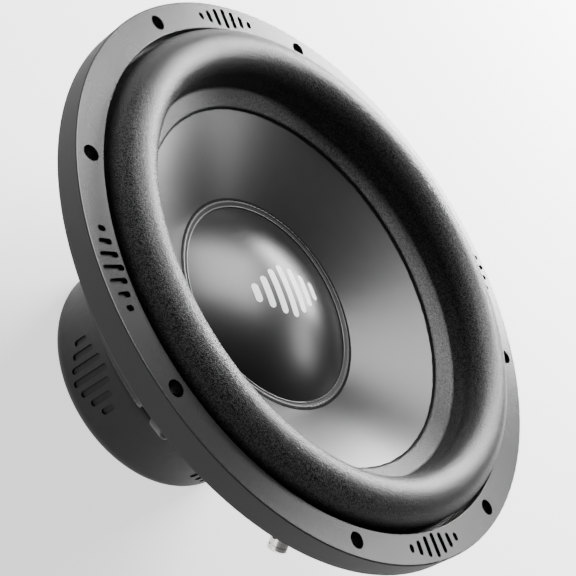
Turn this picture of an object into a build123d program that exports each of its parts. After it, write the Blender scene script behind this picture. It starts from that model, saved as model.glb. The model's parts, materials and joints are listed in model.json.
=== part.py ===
from build123d import *

import os
from math import atan2, cos, degrees, hypot, pi, radians, sin

# A twelve-inch car subwoofer driver with a dual voice coil and a ferrite motor.
#
# Millimetres. +Z points out of the cone. The origin is the centre of the flange's back face, which
# is the face that seats on the baffle. Azimuth is measured from +X towards +Y.

# ---- driving dimensions ----
# Flange and baffle interface
FLANGE_R = 157.5
BOLT_CIRCLE_R = 149.0
BOLT_COUNT = 8
BOLT_FIRST_AZ = 22.5
BOLT_HOLE_R = 3.1
STEEL = 2.0
SPIGOT_R = 139.0
SPIGOT_DEPTH = 14.0

# Rubber trim ring on the front of the flange
TRIM_INNER_R = 141.5
TRIM_TOP = 14.0
TRIM_SKIRT = 1.5
TRIM_HOLE_R = 4.2
TRIM_EDGE = 0.7
TRIM_FOOT = 0.8

# Surround: a tall half roll between two glued lips
ROLL_R = 126.3
ROLL_Z = 13.2
ROLL_OUTER_RADIUS = 12.8
ROLL_WALL = 1.6
ROLL_LIP = 1.2
ROLL_CREASE_R = 112.6
ROLL_LIP_OUTER_R = 145.0

# Cone: an arc through its neck, the foot of the cap and its rim, all on its front face
CONE_NECK = (33.4, -44.0)
CONE_MIDDLE = (60.0, -26.7)
CONE_RIM = (112.2, 2.5)
CONE_WALL = 1.2
CONE_LIP_R = 103.0
CONE_COLLAR = 2.5

# Dust cap
CAP_R = 60.0
CAP_DOME_R = 56.5
CAP_LIP_Z = -26.1
CAP_DOME_Z = -27.1
CAP_APEX_Z = -12.0
CAP_WALL = 1.0
CAP_BEAD = 0.45

# Voice coil, on a 2.5 inch former
FORMER_R = 31.75
FORMER_WALL = 0.4
FORMER_TOP = -42.0
FORMER_BOTTOM = -98.0
COIL_TOP = -70.0
COIL_BOTTOM = -96.0
COIL_LAYER = 0.8
COIL_GAP = 0.05

# Spider
SPIDER_Z = -54.0
SPIDER_OUTER_R = 90.0
SPIDER_WALL = 0.8
SPIDER_WAVES = 5
SPIDER_FIRST_R = 39.0
SPIDER_LAST_R = 75.0
SPIDER_SWING = 2.2

# Motor
PLATE_R = 62.0
PLATE_TOP = -79.0
PLATE_BOTTOM = -87.0
PLATE_BORE_R = 34.6
MAGNET_R = 64.5
MAGNET_BORE_R = 42.0
MAGNET_HEIGHT = 14.0
POLE_R = 30.5
POLE_TOP = -77.0
YOKE_BOTTOM = -122.0
VENT_R = 11.0
VENT_FLARE = 3.0
SLEEVE_WALL = 0.6

# Rubber boot round the motor
BOOT_R = 67.0
BOOT_INNER_R = 65.2
BOOT_BACK = -125.0
BOOT_TOP = -79.6
BOOT_EDGE = 8.0
BOOT_SHOULDER_Z = -85.4
BOOT_MOUTH_R = 63.0
BOOT_VENT_R = 15.0

# Basket: middle line of the pressed sheet, from the flange's edge to the motor seat
BASKET_LINE = [
    (156.0, 1.0),
    (138.0, 1.0),
    (138.0, -14.0),
    (93.0, -55.0),
    (80.0, -55.0),
    (69.0, -78.0),
    (38.0, -78.0),
]
BASKET_BENDS = [1.8, 7.0, 6.0, 3.0, 5.0]
WINDOW_INNER_R = 99.0
WINDOW_OUTER_R = 130.0
WINDOW_CORNER = 6.0
WINDOW_SPANS = [
    (38.0, 71.5),
    (108.5, 142.0),
    (158.0, 202.0),
    (218.0, 251.5),
    (288.5, 322.0),
    (338.0, 382.0),
]
WINDOW_LIP = 2.2
WINDOW_LIP_HEIGHT = 2.5
SPOKE_AZ = [30.0, 150.0, 210.0, 330.0]
RIB_R = 2.4
SLOT_AZ = [0.0, 45.0, 135.0, 180.0, 225.0, 315.0]

# Motor screws
SCREW_CIRCLE_R = 50.0
SCREW_COUNT = 6
SCREW_R = 2.5
SCREW_HEAD_R = 4.6
SCREW_HEAD = 3.0
SCREW_LENGTH = 9.0

# Push terminals, two on each of two plates. Heights are outwards from the basket's outer face.
PLATE_AZ = {"a": 270.0, "b": 90.0}
POST_SPREAD = 9.5
POST_R_FROM_AXIS = 105.0
PLATE_HEIGHT = 3.0
BOSS_HEIGHT = 4.5
COLLAR_HEIGHT = 7.0
COLLAR_R = 7.2
POST_R = 3.9
POST_TOP = 16.4
STUD_R = 2.0
CAP_OUTER_R = 5.6
CAP_INNER_R = 3.98
CAP_SKIRT = 10.8
CAP_CEILING = 22.4
CAP_TOP = 25.2
WIRE_HOLE_R = 2.1
WIRE_HOLE_HEIGHT = 12.9
PUSH_TRAVEL = 3.5
SPRING_R = 2.7
SPRING_WIRE = 0.45
SPRING_TURNS = 4

# Tinsel leads
LEAD_R = 0.9
LEAD_SPREAD = 16.0
PAD_Z = -50.0
PAD_HEIGHT = 4.0

# The generic mark of level bars, as shares of its tallest bar
MARK_BARS = [0.35, 0.6, 0.85, 1.0, 0.85, 0.6, 0.35]
TRIM_MARK_AZ = [0.0, 90.0, 180.0, 270.0]
TRIM_MARK_LENGTH = 12.4
TRIM_MARK_PITCH = 6.4
TRIM_MARK_WIDTH = 3.0
TRIM_MARK_DEPTH = 2.0
BOOT_MARK_AZ = [4.0, 94.0, 184.0, 274.0]
BOOT_MARK_Z = -101.0
BOOT_MARK_LENGTH = 27.0
BOOT_MARK_PITCH = 6.6
BOOT_MARK_WIDTH = 3.4
BOOT_MARK_DEPTH = 0.9

PARTS = "parts"


# ---- shared helpers ----
def polar(radius, azimuth, z=0.0):
    """The point at that distance from the axis, azimuth in degrees and height."""
    return (radius * cos(radians(azimuth)), radius * sin(radians(azimuth)), z)


def spin(*edges):
    """The solid made by turning a closed outline of (radius, height) edges round the axis."""
    return revolve(Plane.XZ * make_face(Curve(children=list(edges)).edges()), Axis.Z)


def spin_points(points):
    """The solid made by turning a polygon of (radius, height) points round the axis."""
    return revolve(Plane.XZ * make_face(Polyline(*points, close=True)), Axis.Z)


def tube(inner_r, outer_r, bottom, top):
    """A plain ring on the axis."""
    return spin_points([(inner_r, bottom), (outer_r, bottom), (outer_r, top), (inner_r, top)])


def rod(radius, bottom, top, x=0.0, y=0.0):
    """A round bar along Z."""
    return Pos(x, y, (bottom + top) / 2) * Cylinder(radius, top - bottom)


def round_group(shape, count, first_az):
    """Copies of a shape built at azimuth 0, evenly spaced round the axis."""
    return [Rot(0, 0, first_az + k * 360 / count) * shape for k in range(count)]


def offset_line(points, distance):
    """The line parallel to an open polyline, that distance to its left."""
    sides = []
    for (x0, z0), (x1, z1) in zip(points, points[1:]):
        length = hypot(x1 - x0, z1 - z0)
        sides.append((-(z1 - z0) / length, (x1 - x0) / length))
    moved = [(points[0][0] + sides[0][0] * distance, points[0][1] + sides[0][1] * distance)]
    for (x, z), (ax, az), (bx, bz) in zip(points[1:-1], sides, sides[1:]):
        stretch = distance / (1 + ax * bx + az * bz)
        moved.append((x + (ax + bx) * stretch, z + (az + bz) * stretch))
    moved.append((points[-1][0] + sides[-1][0] * distance, points[-1][1] + sides[-1][1] * distance))
    return moved


def turns_left(a, b, c):
    """Whether the path from a to c by b turns left at b."""
    return (b[0] - a[0]) * (c[1] - b[1]) - (b[1] - a[1]) * (c[0] - b[0]) > 0


def sheet_ring(points, bends, wall):
    """A pressed sheet of that wall thickness, turned round the axis from its bent middle line."""
    corners = zip(points, points[1:], points[2:])
    left_bends, right_bends = [], []
    for bend, (a, b, c) in zip(bends, corners):
        inside = turns_left(a, b, c)
        left_bends.append(bend - wall / 2 if inside else bend + wall / 2)
        right_bends.append(bend + wall / 2 if inside else bend - wall / 2)
    left, right = offset_line(points, wall / 2), offset_line(points, -wall / 2)
    return spin(
        FilletPolyline(*left, radius=left_bends),
        FilletPolyline(*right, radius=right_bends),
        Line(left[0], right[0]),
        Line(left[-1], right[-1]),
    )


def circle_through(a, b, c):
    """Centre and radius of the circle through three points."""
    d = 2 * (a[0] * (b[1] - c[1]) + b[0] * (c[1] - a[1]) + c[0] * (a[1] - b[1]))
    sa, sb, sc = (p[0] ** 2 + p[1] ** 2 for p in (a, b, c))
    x = (sa * (b[1] - c[1]) + sb * (c[1] - a[1]) + sc * (a[1] - b[1])) / d
    z = (sa * (c[0] - b[0]) + sb * (a[0] - c[0]) + sc * (b[0] - a[0])) / d
    return (x, z), hypot(a[0] - x, a[1] - z)


CONE_CENTRE, CONE_ARC_R = circle_through(CONE_NECK, CONE_MIDDLE, CONE_RIM)


def on_cone(radius, behind=0.0):
    """The (radius, height) point of the cone's front face near that radius, moved back by behind."""
    height = CONE_CENTRE[1] + (CONE_ARC_R**2 - (radius - CONE_CENTRE[0]) ** 2) ** 0.5
    share = (CONE_ARC_R - behind) / CONE_ARC_R
    return (
        CONE_CENTRE[0] + (radius - CONE_CENTRE[0]) * share,
        CONE_CENTRE[1] + (height - CONE_CENTRE[1]) * share,
    )


def cone_arc(inner_r, outer_r, behind=0.0):
    """The stretch of the cone's profile between two radii."""
    middle = (inner_r + outer_r) / 2
    return ThreePointArc(on_cone(inner_r, behind), on_cone(middle, behind), on_cone(outer_r, behind))


def sector(inner_r, outer_r, from_az, to_az, corner):
    """A flat ring sector with rounded corners."""
    middle_az = (from_az + to_az) / 2
    outline = Curve(
        children=[
            ThreePointArc(polar(inner_r, from_az), polar(inner_r, middle_az), polar(inner_r, to_az)),
            ThreePointArc(polar(outer_r, from_az), polar(outer_r, middle_az), polar(outer_r, to_az)),
            Line(polar(inner_r, from_az), polar(outer_r, from_az)),
            Line(polar(inner_r, to_az), polar(outer_r, to_az)),
        ]
    )
    face = make_face(outline.edges())
    return fillet(face.vertices(), corner)


def level_bar(length, width, depth):
    """A cutter with round ends, along X and centred on the origin."""
    return extrude(SlotOverall(length, width), depth, both=True)


# ---- basket ----
SLOPE_TOP, SLOPE_FOOT = BASKET_LINE[2], BASKET_LINE[3]
SLOPE_LENGTH = hypot(SLOPE_TOP[0] - SLOPE_FOOT[0], SLOPE_TOP[1] - SLOPE_FOOT[1])
SLOPE_UP = ((SLOPE_TOP[0] - SLOPE_FOOT[0]) / SLOPE_LENGTH, (SLOPE_TOP[1] - SLOPE_FOOT[1]) / SLOPE_LENGTH)
SLOPE_OUT = (SLOPE_UP[1], -SLOPE_UP[0])


def on_slope(radius, out=0.0):
    """The (radius, height) point out from the basket's sloping wall, measured from its outer face."""
    along = (radius - SLOPE_FOOT[0]) / SLOPE_UP[0]
    away = STEEL / 2 + out
    return (
        SLOPE_FOOT[0] + SLOPE_UP[0] * along + SLOPE_OUT[0] * away,
        SLOPE_FOOT[1] + SLOPE_UP[1] * along + SLOPE_OUT[1] * away,
    )


def slope_band(inner_r, outer_r, low, high):
    """A ring that follows the sloping wall, between two heights out from its outer face."""
    back = [on_slope(inner_r, low), on_slope(outer_r, low)]
    front = [on_slope(outer_r, high), on_slope(inner_r, high)]
    return spin_points(back + front)


def slope_frame(radius, azimuth):
    """The plane on the sloping wall's outer face, Z outwards, X round the axis, Y up the wall."""
    r, z = on_slope(radius)
    normal = polar(SLOPE_OUT[0], azimuth, SLOPE_OUT[1])
    return Plane(origin=polar(r, azimuth, z), x_dir=polar(1, azimuth + 90), z_dir=normal)


POSTS = {
    f"{plate}_{sign}": slope_frame(POST_R_FROM_AXIS, azimuth + side * POST_SPREAD)
    for plate, azimuth in PLATE_AZ.items()
    for sign, side in (("plus", -1), ("minus", 1))
}


def basket():
    body = sheet_ring(BASKET_LINE, BASKET_BENDS, STEEL)
    lip_band = slope_band(WINDOW_INNER_R - 4, WINDOW_OUTER_R + 4, -0.5, WINDOW_LIP_HEIGHT)
    for from_az, to_az in WINDOW_SPANS:
        window = sector(WINDOW_INNER_R, WINDOW_OUTER_R, from_az, to_az, WINDOW_CORNER)
        hole = Pos(0, 0, -60) * extrude(window, 60)
        rim = Pos(0, 0, -60) * extrude(offset(window, WINDOW_LIP), 60)
        body = body - hole + ((lip_band & rim) - hole)
    for azimuth in SPOKE_AZ:
        body += Rot(0, 0, azimuth) * spoke_rib()
    for azimuth in SLOT_AZ:
        slot = Pos(75, 0, -66.5) * Rot(0, 90, 0) * extrude(SlotOverall(26, 9, rotation=90), 12, both=True)
        body -= Rot(0, 0, azimuth) * slot
    body -= round_group(rod(BOLT_HOLE_R, -5, 5, BOLT_CIRCLE_R), BOLT_COUNT, BOLT_FIRST_AZ)
    body -= round_group(rod(SCREW_R + 0.05, -85, -70, SCREW_CIRCLE_R), SCREW_COUNT, 0)
    for frame in POSTS.values():
        body -= frame * rod(STUD_R + 1.6, -6, 2)
    return body


def spoke_rib():
    """A pressed bead down the middle of a spoke, at azimuth 0."""
    low, high = on_slope(WINDOW_INNER_R - 1, 0.9), on_slope(WINDOW_OUTER_R - 2, 0.9)
    length = hypot(high[0] - low[0], high[1] - low[1])
    tilt = 90 - degrees(atan2(high[1] - low[1], high[0] - low[0]))
    upright = rod(RIB_R, 0, length) + Sphere(RIB_R) + Pos(0, 0, length) * Sphere(RIB_R)
    bar = Pos(low[0], 0, low[1]) * Rot(0, tilt, 0) * upright
    return bar & slope_band(WINDOW_INNER_R - 8, WINDOW_OUTER_R + 6, -STEEL / 2, 8)


# ---- trim ring and boot, both rubber ----
def trim_ring():
    lip_top = STEEL + ROLL_LIP
    skirt_inner_r = FLANGE_R - TRIM_SKIRT
    outline = Polyline(
        (TRIM_INNER_R, lip_top),
        (ROLL_LIP_OUTER_R + 0.3, lip_top),
        (ROLL_LIP_OUTER_R + 0.3, STEEL),
        (skirt_inner_r, STEEL),
        (skirt_inner_r, 0),
        (FLANGE_R, 0),
        (FLANGE_R, TRIM_TOP),
        (TRIM_INNER_R, TRIM_TOP),
        close=True,
    )
    face = make_face(outline)
    top_corners = face.vertices().filter_by(lambda v: v.Y > TRIM_TOP - 0.01)
    face = fillet(top_corners, TRIM_EDGE)
    foot = face.vertices().filter_by(lambda v: v.Y < 0.01 and v.X > FLANGE_R - 0.01)
    body = revolve(Plane.XZ * fillet(foot, TRIM_FOOT), Axis.Z)
    body -= round_group(rod(TRIM_HOLE_R, -5, TRIM_TOP + 5, BOLT_CIRCLE_R), BOLT_COUNT, BOLT_FIRST_AZ)
    middle = (len(MARK_BARS) - 1) / 2
    for azimuth in TRIM_MARK_AZ:
        for k, share in enumerate(MARK_BARS):
            turn = azimuth + degrees((k - middle) * TRIM_MARK_PITCH / BOLT_CIRCLE_R)
            bar = level_bar(TRIM_MARK_LENGTH * share, TRIM_MARK_WIDTH, TRIM_MARK_DEPTH)
            body -= Rot(0, 0, turn) * Pos(BOLT_CIRCLE_R, 0, TRIM_TOP) * bar
    return body


def magnet_boot():
    back, inside = BOOT_BACK, YOKE_BOTTOM
    mouth = (BOOT_MOUTH_R + 0.6, BOOT_TOP)
    inset, rise = BOOT_R - mouth[0], BOOT_TOP - BOOT_SHOULDER_Z
    shoulder_radius = (inset**2 + rise**2) / (2 * inset)
    sweep = atan2(rise, shoulder_radius - inset) / 2
    shoulder = (BOOT_R - shoulder_radius * (1 - cos(sweep)), BOOT_SHOULDER_Z + shoulder_radius * sin(sweep))
    slant = BOOT_EDGE * (1 - cos(pi / 4))
    heel = (BOOT_R - slant, back + slant)
    outline = [
        Line((BOOT_VENT_R, inside), (BOOT_VENT_R, back)),
        Line((BOOT_VENT_R, back), (BOOT_R - BOOT_EDGE, back)),
        ThreePointArc((BOOT_R - BOOT_EDGE, back), heel, (BOOT_R, back + BOOT_EDGE)),
        Line((BOOT_R, back + BOOT_EDGE), (BOOT_R, BOOT_SHOULDER_Z)),
        ThreePointArc((BOOT_R, BOOT_SHOULDER_Z), shoulder, mouth),
        Line(mouth, (BOOT_MOUTH_R, BOOT_TOP)),
        Line((BOOT_MOUTH_R, BOOT_TOP), (BOOT_MOUTH_R, PLATE_BOTTOM + 1)),
        Line((BOOT_MOUTH_R, PLATE_BOTTOM + 1), (BOOT_INNER_R, PLATE_BOTTOM + 0.2)),
        Line((BOOT_INNER_R, PLATE_BOTTOM + 0.2), (BOOT_INNER_R, inside)),
        Line((BOOT_INNER_R, inside), (BOOT_VENT_R, inside)),
    ]
    body = spin(*outline)
    middle = (len(MARK_BARS) - 1) / 2
    for azimuth in BOOT_MARK_AZ:
        for k, share in enumerate(MARK_BARS):
            turn = azimuth + degrees((k - middle) * BOOT_MARK_PITCH / BOOT_R)
            bar = level_bar(BOOT_MARK_LENGTH * share, BOOT_MARK_WIDTH, BOOT_MARK_DEPTH)
            body -= Rot(0, 0, turn) * Pos(BOOT_R, 0, BOOT_MARK_Z) * Rot(0, 90, 0) * bar
    return body


# ---- motor ----
def top_plate():
    body = tube(PLATE_BORE_R, PLATE_R, PLATE_BOTTOM, PLATE_TOP)
    holes = rod(SCREW_R + 0.05, PLATE_TOP - SCREW_LENGTH + STEEL, PLATE_TOP + 1, SCREW_CIRCLE_R)
    return body - round_group(holes, SCREW_COUNT, 0)


def magnet(top):
    """A ferrite ring with its edges broken."""
    body = tube(MAGNET_BORE_R, MAGNET_R, top - MAGNET_HEIGHT, top)
    return chamfer(body.edges().filter_by(GeomType.CIRCLE), 0.8)


def yoke():
    """The back plate and pole in one piece, with a vent through both."""
    plate_top = PLATE_BOTTOM - 2 * MAGNET_HEIGHT
    return spin_points(
        [
            (VENT_R + VENT_FLARE, YOKE_BOTTOM),
            (PLATE_R - 1, YOKE_BOTTOM),
            (PLATE_R, YOKE_BOTTOM + 1),
            (PLATE_R, plate_top),
            (POLE_R, plate_top),
            (POLE_R, POLE_TOP - 1),
            (POLE_R - 1, POLE_TOP),
            (VENT_R + 1, POLE_TOP),
            (VENT_R, POLE_TOP - 1),
            (VENT_R, YOKE_BOTTOM + VENT_FLARE),
        ]
    )


def pole_sleeve():
    """The copper ring pressed over the pole's tip."""
    return tube(POLE_R, POLE_R + SLEEVE_WALL, PLATE_BOTTOM - 3, POLE_TOP - 1.5)


def motor_screws():
    seat = PLATE_TOP + STEEL
    screw = rod(SCREW_HEAD_R, seat, seat + SCREW_HEAD) + rod(SCREW_R, seat - SCREW_LENGTH, seat)
    rim = screw.edges().filter_by(GeomType.CIRCLE).sort_by(Axis.Z)[-1:]
    screw = fillet(rim, 1.2)
    socket = Pos(0, 0, seat + SCREW_HEAD) * extrude(RegularPolygon(2.0, 6), 1.6, both=True)
    return round_group(Pos(SCREW_CIRCLE_R, 0, 0) * (screw - socket), SCREW_COUNT, 0)


# ---- moving assembly ----
def cone():
    tip_r = on_cone(CONE_RIM[0], CONE_WALL)[0]
    neck_back = on_cone(CONE_NECK[0], CONE_WALL)
    former_face = FORMER_R + FORMER_WALL + 0.05
    collar_r = former_face + CONE_WALL
    foot = neck_back[1] - CONE_COLLAR
    outline = [
        cone_arc(CONE_NECK[0], CONE_RIM[0]),
        Line(CONE_RIM, on_cone(CONE_RIM[0], CONE_WALL)),
        ThreePointArc(on_cone(CONE_RIM[0], CONE_WALL), on_cone(75, CONE_WALL), on_cone(36, CONE_WALL)),
        Line(on_cone(36, CONE_WALL), (collar_r, foot)),
        Line((collar_r, foot), (former_face, foot)),
        Line((former_face, foot), (former_face, CONE_NECK[1])),
        Line((former_face, CONE_NECK[1]), CONE_NECK),
    ]
    assert tip_r < ROLL_R
    return spin(*outline)


def dust_cap():
    foot, other_foot = (CAP_DOME_R, CAP_DOME_Z), (-CAP_DOME_R, CAP_DOME_Z)
    (_, centre_z), dome = circle_through(other_foot, (0, CAP_APEX_Z), foot)
    inner = dome - CAP_WALL
    inner_edge_r = CAP_DOME_R - 0.6
    inner_edge_z = centre_z + (inner**2 - inner_edge_r**2) ** 0.5
    half = (CAP_DOME_R / 2, centre_z + (dome**2 - (CAP_DOME_R / 2) ** 2) ** 0.5)
    inner_half = (inner_edge_r / 2, centre_z + (inner**2 - (inner_edge_r / 2) ** 2) ** 0.5)
    inner_bead, outer_bead = CAP_DOME_R + 2 * CAP_BEAD, CAP_R - 2 * CAP_BEAD
    bead_z = CAP_DOME_Z + 0.25
    inner_crown = (CAP_DOME_R + CAP_BEAD, bead_z + CAP_BEAD)
    outer_crown = (CAP_R - CAP_BEAD, CAP_LIP_Z + CAP_BEAD)
    outline = [
        ThreePointArc((0, CAP_APEX_Z), half, foot),
        ThreePointArc(foot, inner_crown, (inner_bead, bead_z)),
        Line((inner_bead, bead_z), (outer_bead, CAP_LIP_Z - 0.1)),
        ThreePointArc((outer_bead, CAP_LIP_Z - 0.1), outer_crown, (CAP_R, CAP_LIP_Z)),
        Line((CAP_R, CAP_LIP_Z), on_cone(CAP_R)),
        cone_arc(CAP_DOME_R - 0.6, CAP_R),
        Line(on_cone(CAP_DOME_R - 0.6), (inner_edge_r, inner_edge_z)),
        ThreePointArc((inner_edge_r, inner_edge_z), inner_half, (0, CAP_APEX_Z - CAP_WALL)),
        Line((0, CAP_APEX_Z - CAP_WALL), (0, CAP_APEX_Z)),
    ]
    return spin(*outline)


def coil_former():
    return tube(FORMER_R, FORMER_R + FORMER_WALL, FORMER_BOTTOM, FORMER_TOP)


def coil_layer(number):
    """One of the two windings, wound over each other."""
    inner = FORMER_R + FORMER_WALL + number * (COIL_LAYER + COIL_GAP)
    return tube(inner, inner + COIL_LAYER, COIL_BOTTOM, COIL_TOP)


# ---- suspension ----
def surround():
    """The inner lip on the cone, the half roll on two short legs, and the outer lip on the flange."""
    middle_r = ROLL_OUTER_RADIUS - ROLL_WALL / 2
    inner_leg, outer_leg = ROLL_R - middle_r, ROLL_R + middle_r
    lip_z = STEEL + ROLL_LIP
    crease = on_cone(ROLL_CREASE_R, -ROLL_LIP)
    lip_in = on_cone(CONE_LIP_R)
    outer_face, inner_face = ROLL_OUTER_RADIUS, ROLL_OUTER_RADIUS - ROLL_WALL
    top, under = ROLL_Z + outer_face, ROLL_Z + inner_face
    outline = [
        Line(lip_in, on_cone(CONE_LIP_R, -ROLL_LIP)),
        ThreePointArc(on_cone(CONE_LIP_R, -ROLL_LIP), on_cone(108, -ROLL_LIP), crease),
        Line(crease, (ROLL_R - outer_face, ROLL_Z)),
        ThreePointArc((ROLL_R - outer_face, ROLL_Z), (ROLL_R, top), (ROLL_R + outer_face, ROLL_Z)),
        Line((ROLL_R + outer_face, ROLL_Z), (ROLL_R + outer_face, lip_z + 1.5)),
        ThreePointArc(
            (ROLL_R + outer_face, lip_z + 1.5),
            (ROLL_R + outer_face + 0.44, lip_z + 0.44),
            (ROLL_R + outer_face + 1.5, lip_z),
        ),
        Line((ROLL_R + outer_face + 1.5, lip_z), (ROLL_LIP_OUTER_R, lip_z)),
        Line((ROLL_LIP_OUTER_R, lip_z), (ROLL_LIP_OUTER_R, STEEL)),
        Line((ROLL_LIP_OUTER_R, STEEL), (ROLL_R + inner_face, STEEL)),
        Line((ROLL_R + inner_face, STEEL), (ROLL_R + inner_face, ROLL_Z)),
        ThreePointArc((ROLL_R + inner_face, ROLL_Z), (ROLL_R, under), (ROLL_R - inner_face, ROLL_Z)),
        Line((ROLL_R - inner_face, ROLL_Z), (ROLL_R - inner_face, CONE_RIM[1] + 0.6)),
        Line((ROLL_R - inner_face, CONE_RIM[1] + 0.6), (CONE_RIM[0] + 0.4, CONE_RIM[1] + 0.15)),
        Line((CONE_RIM[0] + 0.4, CONE_RIM[1] + 0.15), CONE_RIM),
        cone_arc(CONE_LIP_R, CONE_RIM[0]),
    ]
    assert inner_leg > CONE_RIM[0] and outer_leg < TRIM_INNER_R and crease[1] < ROLL_Z
    return spin(*outline)


def spider():
    """A corrugated disc with a collar on the former and a flat rim on the basket's shelf."""
    rim_z = SPIDER_Z + SPIDER_WALL / 2
    collar_r = FORMER_R + FORMER_WALL + 0.05 + SPIDER_WALL / 2
    step = (SPIDER_LAST_R - SPIDER_FIRST_R) / (2 * SPIDER_WAVES - 1)
    waves = [
        (SPIDER_FIRST_R + k * step, rim_z + (SPIDER_SWING if k % 2 == 0 else -SPIDER_SWING))
        for k in range(2 * SPIDER_WAVES)
    ]
    inner_run = [(collar_r, rim_z - 4.2), (collar_r, rim_z), (SPIDER_FIRST_R - step / 2, rim_z)]
    outer_run = [(SPIDER_LAST_R + step / 2, rim_z), (SPIDER_OUTER_R, rim_z)]
    points = inner_run + waves + outer_run
    bends = [1.2, 1.6] + [1.7] * len(waves) + [1.6]
    return sheet_ring(points, bends, SPIDER_WALL)


def lead(plate_az, side):
    """A tinsel lead from its lug on the basket to its pad on the former, in its own upright plane."""
    start, end = lead_start(plate_az, side), lead_end(plate_az, side)
    start_v, end_v = Vector(*start), Vector(*end)
    run = end_v - start_v
    flat = Vector(run.X, run.Y, 0)
    away = flat.length

    def point(share, height):
        return (start_v.X + flat.X * share, start_v.Y + flat.Y * share, height)

    points = [
        start,
        point(0.10, start_v.Z + 5.5),
        point(0.30, start_v.Z + 9.0),
        point(0.52, start_v.Z + 6.5),
        point(0.72, start_v.Z - 0.5),
        point(0.88, end_v.Z + 0.9),
        end,
    ]
    radii = []
    for a, b, c in zip(points, points[1:], points[2:]):
        before, after = Vector(*b) - Vector(*a), Vector(*c) - Vector(*b)
        turn = radians(before.get_angle(after))
        radii.append(0.45 * min(before.length, after.length) / (sin(turn / 2) / cos(turn / 2)))
    print("lead radii mm:", [round(r, 1) for r in radii], "over", round(away, 1))
    path = FilletPolyline(*points, radius=radii)
    first = (Vector(*points[1]) - start_v).normalized()
    return sweep(Plane(origin=start, z_dir=first) * Circle(LEAD_R), path)


def lug_tail(plate_az, side):
    """The frame at a post, and the point of its lug's tail where the lead is soldered."""
    frame = slope_frame(POST_R_FROM_AXIS, plate_az + side * POST_SPREAD)
    return frame, frame.from_local_coords(Vector(0, -8.0, -5.4))


def lead_start(plate_az, side):
    point = lug_tail(plate_az, side)[1]
    return (point.X, point.Y, point.Z + 0.4 + LEAD_R * 0.4)


def lead_end(plate_az, side):
    return polar(FORMER_R + FORMER_WALL + 0.9, plate_az + side * LEAD_SPREAD, PAD_Z)


def lead_pads():
    """Copper pads on the former, where the leads meet the windings."""
    face = FORMER_R + FORMER_WALL
    band = tube(face, face + 0.4, PAD_Z - PAD_HEIGHT / 2, PAD_Z + PAD_HEIGHT / 2)
    pads = []
    for plate_az in PLATE_AZ.values():
        for side in (-1, 1):
            turn = Rot(0, 0, plate_az + side * LEAD_SPREAD)
            pads.append(band & turn * Pos(face, 0, PAD_Z) * Box(6, 5, PAD_HEIGHT))
    return pads


# ---- terminals ----
def terminal_plate(plate_az):
    """The moulded plate outside the basket, with a boss for each post that passes through the wall."""
    r, z = on_slope(POST_R_FROM_AXIS)
    frame = slope_frame(POST_R_FROM_AXIS, plate_az)
    blank = frame * extrude(RectangleRounded(54, 22, 5), 8, both=True)
    body = slope_band(POST_R_FROM_AXIS - 16, POST_R_FROM_AXIS + 16, 0, PLATE_HEIGHT) & blank
    assert z < 0 < r
    for side in (-1, 1):
        post = slope_frame(POST_R_FROM_AXIS, plate_az + side * POST_SPREAD)
        body += post * (rod(COLLAR_R + 1.4, 1, BOSS_HEIGHT) + rod(STUD_R + 1.5, -STEEL - 2, 2))
    for side in (-1, 1):
        post = slope_frame(POST_R_FROM_AXIS, plate_az + side * POST_SPREAD)
        body -= post * rod(STUD_R + 0.05, -10, BOSS_HEIGHT + 1)
    return body


def inner_plate(plate_az):
    """The insulating strip inside the basket, under the lugs."""
    frame = slope_frame(POST_R_FROM_AXIS, plate_az)
    blank = frame * extrude(RectangleRounded(50, 16, 4), 10, both=True)
    body = slope_band(POST_R_FROM_AXIS - 16, POST_R_FROM_AXIS + 16, -STEEL - 2, -STEEL) & blank
    for side in (-1, 1):
        post = slope_frame(POST_R_FROM_AXIS, plate_az + side * POST_SPREAD)
        body += post * rod(6, -STEEL - 2.6, -STEEL - 1)
    for side in (-1, 1):
        post = slope_frame(POST_R_FROM_AXIS, plate_az + side * POST_SPREAD)
        body -= post * rod(STUD_R + 1.55, -STEEL - 2, 2) + post * rod(STUD_R + 0.05, -STEEL - 4, 2)
    return body


def terminal_collar(frame):
    """The coloured ring that marks a post's polarity."""
    ring = rod(COLLAR_R, BOSS_HEIGHT, COLLAR_HEIGHT) - rod(STUD_R + 0.05, 0, 10)
    edge = ring.edges().filter_by(GeomType.CIRCLE).sort_by(Axis.Z)[-1:]
    return frame * ring.solid().fillet(0.5, [e for e in edge])


def terminal_post(frame):
    """The fixed post with its wire hole, and its stud through the basket."""
    body = rod(POST_R, COLLAR_HEIGHT, POST_TOP) + rod(STUD_R, -9.5, COLLAR_HEIGHT)
    hole = Pos(0, 0, WIRE_HOLE_HEIGHT) * Rot(0, 90, 0) * Cylinder(WIRE_HOLE_R, 4 * POST_R)
    return frame * (body - hole)


def push_cap(frame):
    """The sprung cap over a post: pushed in, its hole lines up with the post's."""
    body = rod(CAP_OUTER_R, CAP_SKIRT, CAP_TOP)
    end = body.edges().filter_by(GeomType.CIRCLE).sort_by(Axis.Z)[-1:]
    body = fillet(end, 1.6)
    body -= rod(CAP_INNER_R, CAP_SKIRT - 1, CAP_CEILING)
    groove_z = CAP_TOP - 3.9
    kept = rod(CAP_OUTER_R - 0.5, groove_z - 1, groove_z + 2)
    body -= rod(CAP_OUTER_R + 1, groove_z, groove_z + 0.7) - kept
    hole_z = WIRE_HOLE_HEIGHT + PUSH_TRAVEL
    body -= Pos(0, 0, hole_z) * Rot(0, 90, 0) * Cylinder(WIRE_HOLE_R + 0.1, 4 * CAP_OUTER_R)
    return frame * body


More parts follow.
